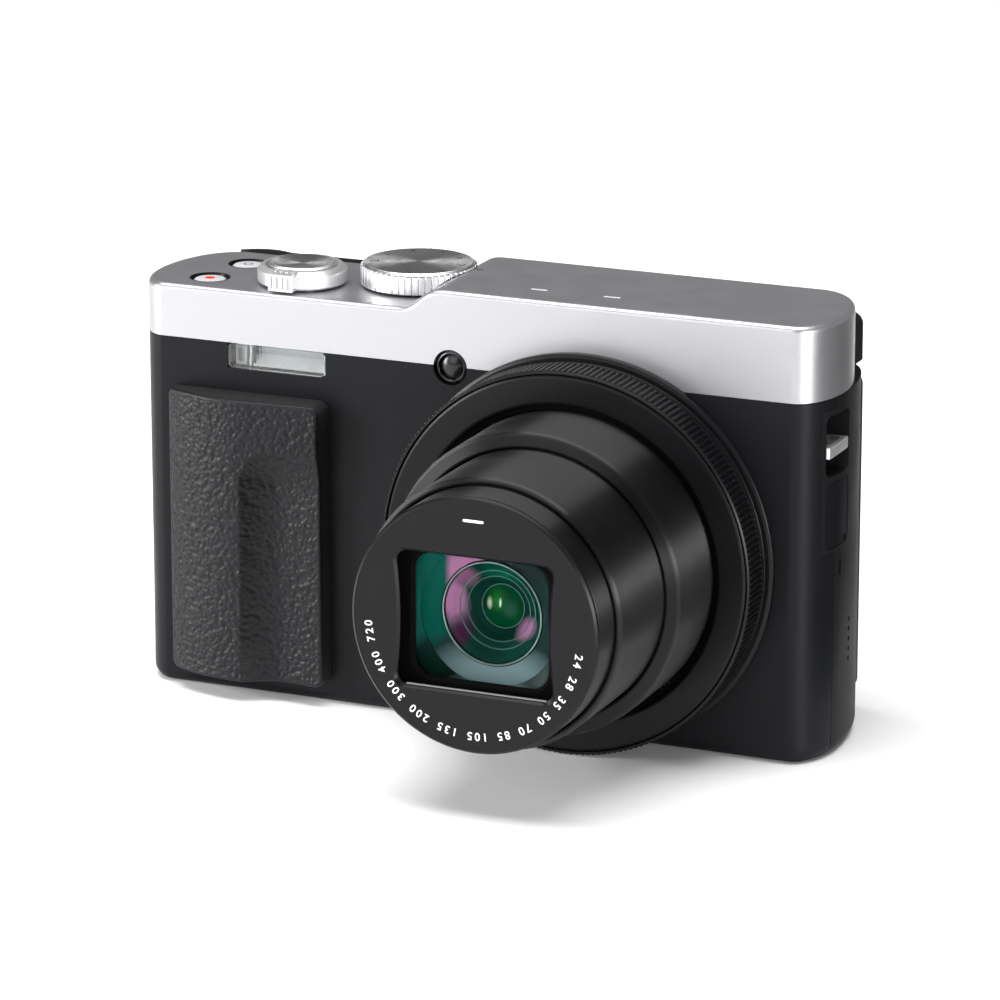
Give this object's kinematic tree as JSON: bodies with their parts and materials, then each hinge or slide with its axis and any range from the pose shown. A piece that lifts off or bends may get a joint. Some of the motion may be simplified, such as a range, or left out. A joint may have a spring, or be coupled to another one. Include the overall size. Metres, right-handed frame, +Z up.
{
  "type": "compact digital camera",
  "caption": "Compact travel-zoom digital camera with a telescoping lens and lens cover, control ring, mode dial, zoom lever, buttons, flip-up monitor and hinged doors.",
  "frame": {"origin": "centre of the flat base, midway along the body between its two rounded ends, 14 mm behind the flat front face", "axes": "+X to the right as seen from the front (towards the strap lug and terminal door), -Y along the optical axis out of the lens, +Z up"},
  "size_m": [0.1122, 0.0748, 0.0674],
  "materials": {
    "silver_metal": "satin silver paint over an aluminium-look shell",
    "body_black": "fine satin black",
    "leatherette": "pebbled black leatherette",
    "black_rubber": "matt moulded rubber",
    "ring_black": "black anodised satin",
    "lens_black": "gloss black",
    "inner_plastic": "matt black engineering plastic",
    "plated_steel": "zinc plated",
    "coated_glass": "green and magenta anti-reflection coating",
    "clear_window": "clear ribbed",
    "smoked_window": "smoked",
    "screen_glass": "gloss cover over a dark display",
    "reflector": "bright reflector",
    "chrome_lug": "polished",
    "circuit_board": "solder mask green",
    "battery_case": "matt dark grey",
    "card_plastic": "matt blue-black"
  },
  "bodies": {
    "camera_body": {"front_cover": "body_black", "rear_cover": "body_black", "top_cover": "silver_metal", "front_grip": "leatherette", "thumb_rest": "black_rubber", "lens_base_ring": "ring_black", "front_bezel": "lens_black", "lens_housing": "inner_plastic", "rear_lens_group": "inner_plastic", "sensor_plate": "plated_steel", "sensor_module": "circuit_board", "zoom_motor": "plated_steel", "main_board": "circuit_board", "chassis_plate": "plated_steel", "battery_compartment": "inner_plastic", "battery": "battery_case", "memory_card": "card_plastic", "tripod_socket": "plated_steel", "base_screw_left": "plated_steel", "base_screw_right": "plated_steel", "flash_window": "clear_window", "flash_unit": "reflector", "flash_capacitor": "inner_plastic", "af_lamp": "smoked_window", "speaker": "inner_plastic", "usb_socket": "plated_steel", "hdmi_socket": "plated_steel", "strap_lug": "chrome_lug", "monitor_hinge": "plated_steel", "top_switch_board": "circuit_board", "rear_button_board": "circuit_board"},
    "outer_barrel": {"outer_barrel": "lens_black"},
    "middle_barrel": {"middle_barrel": "lens_black", "zoom_lens_group": "inner_plastic"},
    "front_barrel": {"front_barrel": "lens_black", "name_ring": "ring_black", "front_lens_cell": "lens_black", "front_element": "coated_glass"},
    "blade_upper_outer": {"barrier_blade_upper_outer": "ring_black"},
    "blade_upper_inner": {"barrier_blade_upper_inner": "ring_black"},
    "blade_lower_outer": {"barrier_blade_lower_outer": "ring_black"},
    "blade_lower_inner": {"barrier_blade_lower_inner": "ring_black"},
    "cam_ring": {"cam_ring": "plated_steel"},
    "control_ring": {"control_ring": "ring_black"},
    "mode_dial": {"mode_dial": "silver_metal"},
    "zoom_lever": {"zoom_lever": "silver_metal"},
    "shutter_button": {"shutter_button": "silver_metal"},
    "movie_button": {"movie_button": "silver_metal"},
    "power_button": {"power_button": "silver_metal"},
    "rear_dial": {"rear_dial": "ring_black"},
    "set_button": {"set_button": "ring_black"},
    "function_button": {"function_button": "ring_black"},
    "playback_button": {"playback_button": "ring_black"},
    "delete_button": {"delete_button": "ring_black"},
    "display_button": {"display_button": "ring_black"},
    "monitor": {"monitor_housing": "body_black", "monitor_screen": "screen_glass"},
    "battery_door": {"battery_door": "body_black"},
    "battery_door_latch": {"battery_door_latch": "ring_black"},
    "terminal_door": {"terminal_door": "body_black"}
  },
  "joints": [
    {"name": "lens_zoom", "type": "slide", "parent": "camera_body", "child": "outer_barrel", "axis": [0, -1, 0], "range_m": [-0.0112, 0.005]},
    {"name": "middle_barrel_slide", "type": "slide", "parent": "outer_barrel", "child": "middle_barrel", "axis": [0, -1, 0], "range_m": [-0.0156, 0.007]},
    {"name": "front_barrel_slide", "type": "slide", "parent": "middle_barrel", "child": "front_barrel", "axis": [0, -1, 0], "range_m": [-0.0055, 0.0025]},
    {"name": "cam_ring_turn", "type": "hinge", "parent": "camera_body", "child": "cam_ring", "pos_m": [0.0189, -0.019, 0.0296], "axis": [0, -1, 0], "range_deg": [-140, 63]},
    {"name": "barrier_close", "type": "slide", "parent": "front_barrel", "child": "blade_upper_outer", "axis": [0, 0, -1], "range_m": [0, 0.0052]},
    {"name": "blade_upper_inner_slide", "type": "slide", "parent": "front_barrel", "child": "blade_upper_inner", "axis": [0, 0, -1], "range_m": [0, 0.0102]},
    {"name": "blade_lower_outer_slide", "type": "slide", "parent": "front_barrel", "child": "blade_lower_outer", "axis": [0, 0, 1], "range_m": [0, 0.0053]},
    {"name": "blade_lower_inner_slide", "type": "slide", "parent": "front_barrel", "child": "blade_lower_inner", "axis": [0, 0, 1], "range_m": [0, 0.0102]},
    {"name": "control_ring_turn", "type": "hinge", "parent": "camera_body", "child": "control_ring", "pos_m": [0.0189, -0.019, 0.0296], "axis": [0, -1, 0], "continuous": true},
    {"name": "mode_dial_turn", "type": "hinge", "parent": "camera_body", "child": "mode_dial", "pos_m": [-0.01457, 0.0005, 0.064], "axis": [0, 0, 1], "continuous": true},
    {"name": "zoom_lever_turn", "type": "hinge", "parent": "camera_body", "child": "zoom_lever", "pos_m": [-0.0313, -0.0055, 0.064], "axis": [0, 0, 1], "range_deg": [-20, 20], "stiffness_Nm_per_rad": 0.02},
    {"name": "shutter_press", "type": "slide", "parent": "camera_body", "child": "shutter_button", "axis": [0, 0, -1], "range_m": [0, 0.001], "stiffness_N_per_m": 800},
    {"name": "movie_press", "type": "slide", "parent": "camera_body", "child": "movie_button", "axis": [0, 0, -1], "range_m": [0, 0.0004], "stiffness_N_per_m": 1000},
    {"name": "power_press", "type": "slide", "parent": "camera_body", "child": "power_button", "axis": [0, 0, -1], "range_m": [0, 0.0004], "stiffness_N_per_m": 1000},
    {"name": "rear_dial_turn", "type": "hinge", "parent": "camera_body", "child": "rear_dial", "pos_m": [-0.0385, 0.017, 0.027], "axis": [0, 1, 0], "continuous": true},
    {"name": "set_press", "type": "slide", "parent": "camera_body", "child": "set_button", "axis": [0, -1, 0], "range_m": [0, 0.0004], "stiffness_N_per_m": 1000},
    {"name": "function_press", "type": "slide", "parent": "camera_body", "child": "function_button", "axis": [0, -1, 0], "range_m": [0, 0.0004], "stiffness_N_per_m": 1000},
    {"name": "playback_press", "type": "slide", "parent": "camera_body", "child": "playback_button", "axis": [0, -1, 0], "range_m": [0, 0.0004], "stiffness_N_per_m": 1000},
    {"name": "delete_press", "type": "slide", "parent": "camera_body", "child": "delete_button", "axis": [0, -1, 0], "range_m": [0, 0.0004], "stiffness_N_per_m": 1000},
    {"name": "display_press", "type": "slide", "parent": "camera_body", "child": "display_button", "axis": [0, -1, 0], "range_m": [0, 0.0004], "stiffness_N_per_m": 1000},
    {"name": "monitor_tilt", "type": "hinge", "parent": "camera_body", "child": "monitor", "pos_m": [0.0136, 0.0163, 0.0544], "axis": [1, 0, 0], "range_deg": [0, 180]},
    {"name": "battery_door_swing", "type": "hinge", "parent": "camera_body", "child": "battery_door", "pos_m": [-0.0365, 0.0055, 0.0002], "axis": [1, 0, 0], "range_deg": [0, 100]},
    {"name": "battery_latch_slide", "type": "slide", "parent": "battery_door", "child": "battery_door_latch", "axis": [1, 0, 0], "range_m": [0, 0.0025]},
    {"name": "terminal_door_swing", "type": "hinge", "parent": "camera_body", "child": "terminal_door", "pos_m": [0.0552, -0.00985, 0.0385], "axis": [0, 0, -1], "range_deg": [0, 100]}
  ],
  "couplings": [
    {"joint": "middle_barrel_slide", "follows": "lens_zoom", "ratio": 1.384},
    {"joint": "front_barrel_slide", "follows": "lens_zoom", "ratio": 0.482},
    {"joint": "cam_ring_turn", "follows": "lens_zoom", "rad_per_m": 215},
    {"joint": "blade_upper_inner_slide", "follows": "barrier_close", "ratio": 1.952},
    {"joint": "blade_lower_outer_slide", "follows": "barrier_close", "ratio": 1},
    {"joint": "blade_lower_inner_slide", "follows": "barrier_close", "ratio": 1.952}
  ]
}
